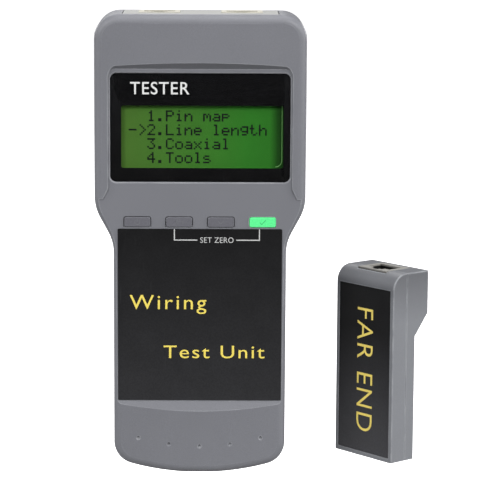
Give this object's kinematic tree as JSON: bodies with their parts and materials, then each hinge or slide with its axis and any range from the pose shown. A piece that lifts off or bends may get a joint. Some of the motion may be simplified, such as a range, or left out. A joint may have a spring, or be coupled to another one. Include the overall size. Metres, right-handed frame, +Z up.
{
  "type": "network cable tester",
  "caption": "Hand-held network cable tester with a display, a row of keys and sockets in its top end, beside its small remote end unit.",
  "frame": {"origin": "middle of the flat that the main unit stands on", "axes": "+Z up the length of the main unit to its sockets, -Y out of its display, +X to the right of someone reading the display"},
  "size_m": [0.1307, 0.0537, 0.1782],
  "materials": {
    "case_grey": "fine moulded texture, satin",
    "key_grey": "satin moulded keycap",
    "key_green": "bright green moulded keycap",
    "overlay_black": "textured polyester overlay",
    "label_silver": "matt silver label, blank",
    "window_clear": "clear polished acrylic",
    "mask_black": "black printed film",
    "lcd_green": "yellow-green display glass",
    "backlight_white": "diffuser",
    "bezel_steel": "black painted steel",
    "board_green": "solder-masked glass fibre board",
    "part_black": "moulded component body",
    "trimmer_blue": "moulded",
    "plunger_cream": "moulded",
    "port_beige": "moulded nylon",
    "contact_gold": "gold-plated phosphor bronze",
    "plated_steel": "nickel plated",
    "can_silver": "drawn metal can",
    "cell_sleeve": "printed foil sleeve, blank",
    "wire_red": "PVC insulation",
    "screw_steel": "zinc plated",
    "diode_glass": "small glass body with tinned leads"
  },
  "bodies": {
    "main_unit": {"front_shell": "case_grey", "rear_shell": "case_grey", "end_panel": "case_grey", "port_1_housing": "port_beige", "port_2_housing": "port_beige", "port_1_contacts": "contact_gold", "port_2_contacts": "contact_gold", "display_window": "window_clear", "window_mask": "mask_black", "lcd_bezel": "bezel_steel", "lcd_glass": "lcd_green", "lcd_backlight": "backlight_white", "lcd_board": "board_green", "lcd_header": "part_black", "keypad_label": "overlay_black", "key_switches": "part_black", "main_board": "board_green", "processor_chip": "part_black", "crystal": "can_silver", "capacitors": "can_silver", "contrast_trimmer": "trimmer_blue", "case_screws": "screw_steel", "board_screws": "screw_steel", "lcd_screws": "screw_steel", "rear_label": "label_silver", "battery_springs": "plated_steel", "battery_plates": "plated_steel", "battery_leads": "wire_red", "battery_1": "cell_sleeve", "battery_2": "cell_sleeve", "battery_3": "cell_sleeve", "battery_4": "cell_sleeve"},
    "power_key": {"power_key": "key_grey", "power_plunger": "plunger_cream"},
    "back_key": {"back_key": "key_grey", "back_plunger": "plunger_cream"},
    "scroll_key": {"scroll_key": "key_grey", "scroll_plunger": "plunger_cream"},
    "enter_key": {"enter_key": "key_green", "enter_plunger": "plunger_cream"},
    "battery_door": {"battery_door": "case_grey"},
    "trimmer_rotor": {"trimmer_rotor": "plunger_cream"},
    "remote": {"remote_port_housing": "port_beige", "remote_port_contacts": "contact_gold", "remote_screw": "screw_steel", "remote_front_shell": "case_grey", "remote_rear_shell": "case_grey", "remote_board": "board_green", "remote_diodes": "diode_glass", "remote_label": "overlay_black"}
  },
  "joints": [
    {"name": "power_key_press", "type": "slide", "parent": "main_unit", "child": "power_key", "axis": [0, 1, 0], "range_m": [0, 0.0003]},
    {"name": "back_key_press", "type": "slide", "parent": "main_unit", "child": "back_key", "axis": [0, 1, 0], "range_m": [0, 0.0003]},
    {"name": "scroll_key_press", "type": "slide", "parent": "main_unit", "child": "scroll_key", "axis": [0, 1, 0], "range_m": [0, 0.0003]},
    {"name": "enter_key_press", "type": "slide", "parent": "main_unit", "child": "enter_key", "axis": [0, 1, 0], "range_m": [0, 0.0003]},
    {"name": "battery_door_slide", "type": "slide", "parent": "main_unit", "child": "battery_door", "axis": [0, 0, -1], "range_m": [0, 0.068]},
    {"name": "contrast_turn", "type": "hinge", "parent": "main_unit", "child": "trimmer_rotor", "pos_m": [-0.028, -0.0003, 0.123], "axis": [0, 1, 0], "range_deg": [-130, 130]},
    {"name": "remote_lift", "type": "slide", "parent": "main_unit", "child": "remote", "axis": [0, 0, 1], "range_m": [0, 0.1]}
  ]
}
